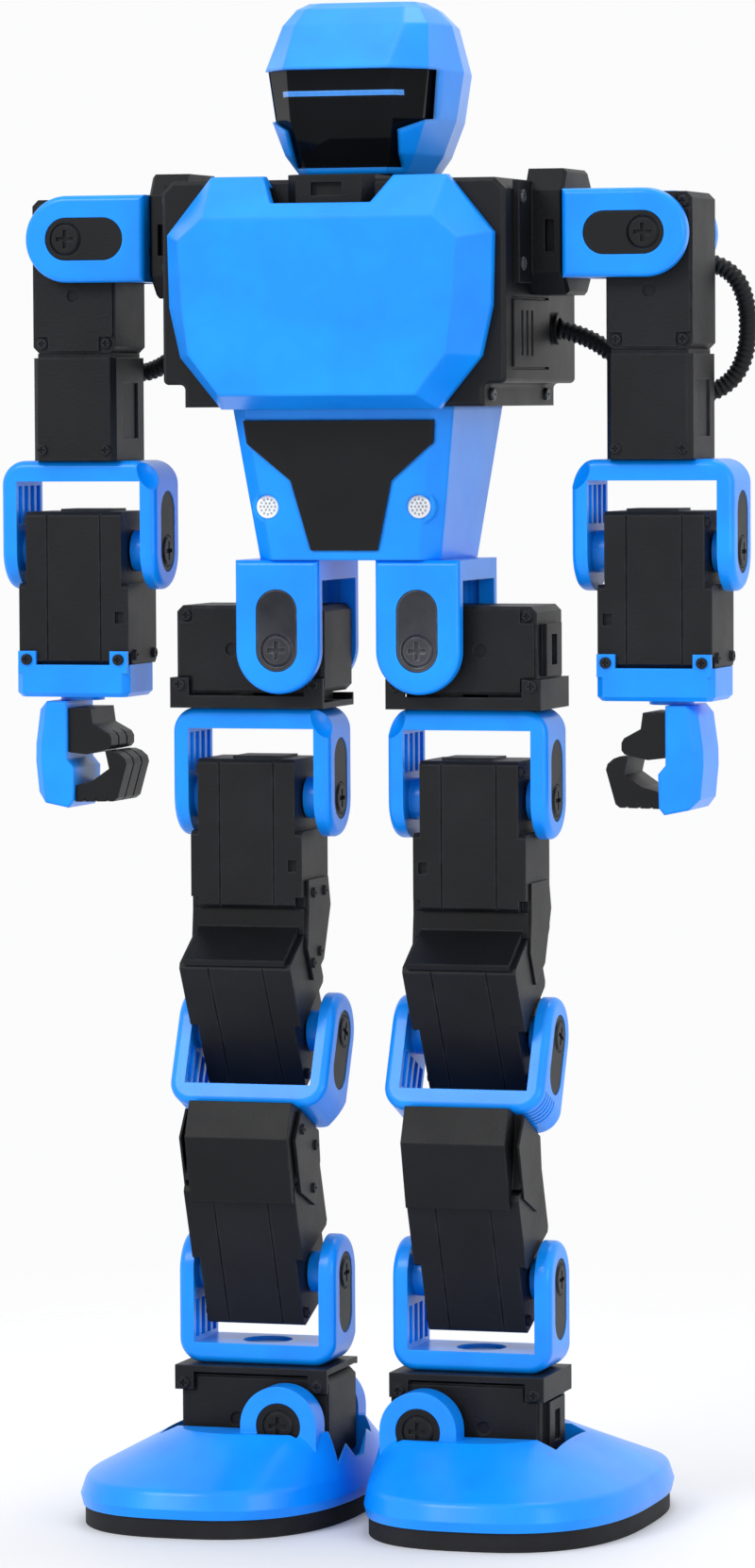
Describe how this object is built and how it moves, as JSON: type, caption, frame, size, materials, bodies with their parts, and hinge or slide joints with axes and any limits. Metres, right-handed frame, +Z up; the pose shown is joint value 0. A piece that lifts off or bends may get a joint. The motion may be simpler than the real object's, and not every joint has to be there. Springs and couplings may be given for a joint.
{
  "type": "walking humanoid robot",
  "caption": "Small blue and black walking humanoid robot of linked servo units, with a dark visor, gripper hands, bracketed limbs and broad rounded feet",
  "frame": {"origin": "on the floor, midway between the feet, at the centre of the overall outline in X and Y", "axes": "+Z up, -Y the robot's front, +X the robot's left"},
  "size_m": [0.1714, 0.096, 0.3398],
  "materials": {
    "blue_plastic": "satin",
    "black_plastic": "matte",
    "servo_plastic": "matte",
    "visor_gloss": "gloss",
    "light_lens": "gloss",
    "pale_mesh": "matte",
    "sole_rubber": "matte",
    "cable_sleeve": "matte",
    "screw_steel": "satin",
    "battery_wrap": "satin",
    "circuit_board": "satin"
  },
  "bodies": {
    "torso": {"chest_housing": "black_plastic", "chest_cover": "blue_plastic", "back_cover": "blue_plastic", "waist_cover": "blue_plastic", "belly_panel": "black_plastic", "speaker_grilles": "pale_mesh", "shoulder_frames": "black_plastic", "torso_servos": "servo_plastic", "battery_pack": "battery_wrap", "control_board": "circuit_board", "hip_yokes": "blue_plastic", "torso_fasteners": "screw_steel", "arm_cable_a_L": "cable_sleeve", "arm_cable_a_R": "cable_sleeve"},
    "head": {"head_shell": "blue_plastic", "visor": "visor_gloss", "light_bar": "light_lens", "neck_post": "black_plastic"},
    "shoulder_L": {"shoulder_yoke_L": "blue_plastic", "shoulder_caps_L": "black_plastic", "arm_cable_b_L": "cable_sleeve"},
    "upper_arm_L": {"upper_arm_servo_L": "servo_plastic", "elbow_bracket_L": "blue_plastic"},
    "forearm_L": {"forearm_servo_L": "servo_plastic", "wrist_cap_L": "blue_plastic", "hand_palm_L": "blue_plastic", "hand_claw_L": "black_plastic"},
    "hip_L": {"hip_servo_L": "servo_plastic", "thigh_bracket_L": "blue_plastic"},
    "thigh_L": {"thigh_servos_L": "servo_plastic", "knee_link_L": "black_plastic"},
    "shin_L": {"knee_bracket_L": "blue_plastic", "shin_servo_L": "servo_plastic", "shin_cover_L": "black_plastic"},
    "ankle_L": {"ankle_bracket_L": "blue_plastic", "ankle_servo_L": "servo_plastic"},
    "foot_L": {"foot_cover_L": "blue_plastic", "foot_caps_L": "black_plastic", "foot_sole_L": "sole_rubber"},
    "shoulder_R": {"shoulder_yoke_R": "blue_plastic", "shoulder_caps_R": "black_plastic", "arm_cable_b_R": "cable_sleeve"},
    "upper_arm_R": {"upper_arm_servo_R": "servo_plastic", "elbow_bracket_R": "blue_plastic"},
    "forearm_R": {"forearm_servo_R": "servo_plastic", "wrist_cap_R": "blue_plastic", "hand_palm_R": "blue_plastic", "hand_claw_R": "black_plastic"},
    "hip_R": {"hip_servo_R": "servo_plastic", "thigh_bracket_R": "blue_plastic"},
    "thigh_R": {"thigh_servos_R": "servo_plastic", "knee_link_R": "black_plastic"},
    "shin_R": {"knee_bracket_R": "blue_plastic", "shin_servo_R": "servo_plastic", "shin_cover_R": "black_plastic"},
    "ankle_R": {"ankle_bracket_R": "blue_plastic", "ankle_servo_R": "servo_plastic"},
    "foot_R": {"foot_cover_R": "blue_plastic", "foot_caps_R": "black_plastic", "foot_sole_R": "sole_rubber"}
  },
  "joints": [
    {"name": "head_yaw", "type": "hinge", "parent": "torso", "child": "head", "pos_m": [0, -0.002, 0.3], "axis": [0, 0, 1], "range_deg": [-90, 90]},
    {"name": "shoulder_pitch_L", "type": "hinge", "parent": "torso", "child": "shoulder_L", "pos_m": [0.04835, -0.0018, 0.288], "axis": [1, 0, 0], "range_deg": [-90, 180], "deforming": ["arm_cable_a_L"]},
    {"name": "shoulder_roll_L", "type": "hinge", "parent": "shoulder_L", "child": "upper_arm_L", "pos_m": [0.067, -0.001, 0.2879], "axis": [0, -1, 0], "range_deg": [-4, 110], "deforming": ["arm_cable_b_L"]},
    {"name": "elbow_pitch_L", "type": "hinge", "parent": "upper_arm_L", "child": "forearm_L", "pos_m": [0.067, -0.001, 0.2176], "axis": [1, 0, 0], "range_deg": [-90, 90]},
    {"name": "hip_roll_L", "type": "hinge", "parent": "torso", "child": "hip_L", "pos_m": [0.0163, -0.0042, 0.1959], "axis": [0, 1, 0], "range_deg": [-20, 1]},
    {"name": "hip_pitch_L", "type": "hinge", "parent": "hip_L", "child": "thigh_L", "pos_m": [0.0252, -0.0045, 0.1622], "axis": [-1, 0, 0], "range_deg": [-45, 90]},
    {"name": "knee_pitch_L", "type": "hinge", "parent": "thigh_L", "child": "shin_L", "pos_m": [0.0252, -0.003, 0.1093], "axis": [1, 0, 0], "range_deg": [-45, 100]},
    {"name": "ankle_pitch_L", "type": "hinge", "parent": "shin_L", "child": "ankle_L", "pos_m": [0.0252, -0.0032, 0.0547], "axis": [1, 0, 0], "range_deg": [-45, 45]},
    {"name": "ankle_roll_L", "type": "hinge", "parent": "ankle_L", "child": "foot_L", "pos_m": [0.0163, -0.0042, 0.0223], "axis": [0, 1, 0], "range_deg": [-18, 9]},
    {"name": "shoulder_pitch_R", "type": "hinge", "parent": "torso", "child": "shoulder_R", "pos_m": [-0.04835, -0.0018, 0.288], "axis": [1, 0, 0], "range_deg": [-90, 180], "deforming": ["arm_cable_a_R"]},
    {"name": "shoulder_roll_R", "type": "hinge", "parent": "shoulder_R", "child": "upper_arm_R", "pos_m": [-0.067, -0.001, 0.2879], "axis": [0, 1, 0], "range_deg": [-4, 110], "deforming": ["arm_cable_b_R"]},
    {"name": "elbow_pitch_R", "type": "hinge", "parent": "upper_arm_R", "child": "forearm_R", "pos_m": [-0.067, -0.001, 0.2176], "axis": [1, 0, 0], "range_deg": [-90, 90]},
    {"name": "hip_roll_R", "type": "hinge", "parent": "torso", "child": "hip_R", "pos_m": [-0.0163, -0.0042, 0.1959], "axis": [0, 1, 0], "range_deg": [-1, 20]},
    {"name": "hip_pitch_R", "type": "hinge", "parent": "hip_R", "child": "thigh_R", "pos_m": [-0.0252, -0.0045, 0.1622], "axis": [-1, 0, 0], "range_deg": [-45, 90]},
    {"name": "knee_pitch_R", "type": "hinge", "parent": "thigh_R", "child": "shin_R", "pos_m": [-0.0252, -0.003, 0.1093], "axis": [1, 0, 0], "range_deg": [-45, 100]},
    {"name": "ankle_pitch_R", "type": "hinge", "parent": "shin_R", "child": "ankle_R", "pos_m": [-0.0252, -0.0032, 0.0547], "axis": [1, 0, 0], "range_deg": [-45, 45]},
    {"name": "ankle_roll_R", "type": "hinge", "parent": "ankle_R", "child": "foot_R", "pos_m": [-0.0163, -0.0042, 0.0223], "axis": [0, 1, 0], "range_deg": [-9, 18]}
  ]
}
